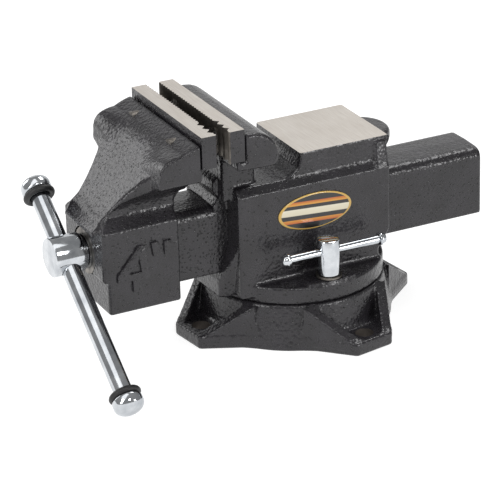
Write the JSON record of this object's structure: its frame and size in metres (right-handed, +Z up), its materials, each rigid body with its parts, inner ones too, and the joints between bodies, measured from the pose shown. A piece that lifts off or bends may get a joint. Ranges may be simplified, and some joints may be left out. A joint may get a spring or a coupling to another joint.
{
  "type": "bench vise",
  "caption": "Bench vise with serrated jaws, pipe notches, an anvil pad, a sliding bar on a screw with a cross handle, and a swivel base with locks.",
  "frame": {"origin": "on the swivel axis at the bottom of the base, where it stands on the bench", "axes": "+Z up, +X from the screw handle towards the rear end of the slide bar, as stored"},
  "size_m": [0.299, 0.1811, 0.155],
  "materials": {
    "hammertone": "dark grey hammertone enamel over sand-cast iron",
    "ground_steel": "ground and brushed steel, dull",
    "plain_steel": "plain oiled steel",
    "cast_iron": "bare machined iron",
    "chrome_steel": "polished chrome plate",
    "black_rubber": "smooth black rubber",
    "badge": "glossy printed label with plain bands"
  },
  "bodies": {
    "base": {"swivel_base": "hammertone"},
    "upper": {"fixed_body": "hammertone", "fixed_jaw_plate": "ground_steel", "fixed_plate_screw_near": "plain_steel", "fixed_plate_screw_far": "plain_steel", "lead_nut": "cast_iron", "lead_nut_bolt": "plain_steel", "oval_badge": "badge", "near_lock_washer": "plain_steel", "far_lock_washer": "plain_steel", "near_clamp_nut": "cast_iron", "far_clamp_nut": "cast_iron"},
    "slider": {"moving_jaw": "hammertone", "moving_jaw_plate": "ground_steel", "moving_plate_screw_near": "plain_steel", "moving_plate_screw_far": "plain_steel"},
    "screw": {"main_screw": "chrome_steel", "thrust_collar": "plain_steel", "spring_washer": "plain_steel", "pin_washer": "plain_steel", "return_spring": "plain_steel", "split_pin": "plain_steel"},
    "handle": {"handle_bar": "chrome_steel", "handle_upper_knob": "chrome_steel", "handle_lower_knob": "chrome_steel", "handle_upper_ring": "black_rubber", "handle_lower_ring": "black_rubber"},
    "near_lock": {"near_lock_stud": "chrome_steel"},
    "far_lock": {"far_lock_stud": "chrome_steel"},
    "near_cross_bar": {"near_lock_bar": "chrome_steel", "near_lock_bar_front_cap": "chrome_steel", "near_lock_bar_rear_cap": "chrome_steel"},
    "far_cross_bar": {"far_lock_bar": "chrome_steel", "far_lock_bar_front_cap": "chrome_steel", "far_lock_bar_rear_cap": "chrome_steel"}
  },
  "joints": [
    {"name": "swivel", "type": "hinge", "parent": "base", "child": "upper", "pos_m": [0, 0, 0.0297], "axis": [0, 0, 1], "continuous": true},
    {"name": "jaw_slide", "type": "slide", "parent": "upper", "child": "slider", "axis": [1, 0, 0], "range_m": [-0.0934, 0.008]},
    {"name": "screw_turn", "type": "hinge", "parent": "slider", "child": "screw", "pos_m": [-0.1455, 0, 0.0745], "axis": [1, 0, 0], "range_deg": [-8420, 730]},
    {"name": "handle_slide", "type": "slide", "parent": "screw", "child": "handle", "axis": [0, 0.809, 0.5878], "range_m": [-0.03, 0.088]},
    {"name": "near_lock_turn", "type": "hinge", "parent": "upper", "child": "near_lock", "pos_m": [0, -0.05, 0.0435], "axis": [0, 0, 1], "range_deg": [-7, 7]},
    {"name": "far_lock_turn", "type": "hinge", "parent": "upper", "child": "far_lock", "pos_m": [0, 0.05, 0.0435], "axis": [0, 0, 1], "range_deg": [-7, 7]},
    {"name": "near_cross_bar_slide", "type": "slide", "parent": "near_lock", "child": "near_cross_bar", "axis": [1, 0, 0], "range_m": [-0.027, 0.019]},
    {"name": "far_cross_bar_slide", "type": "slide", "parent": "far_lock", "child": "far_cross_bar", "axis": [1, 0, 0], "range_m": [-0.027, 0.019]}
  ],
  "couplings": [
    {"joint": "screw_turn", "follows": "jaw_slide", "rad_per_m": 1570.8}
  ]
}
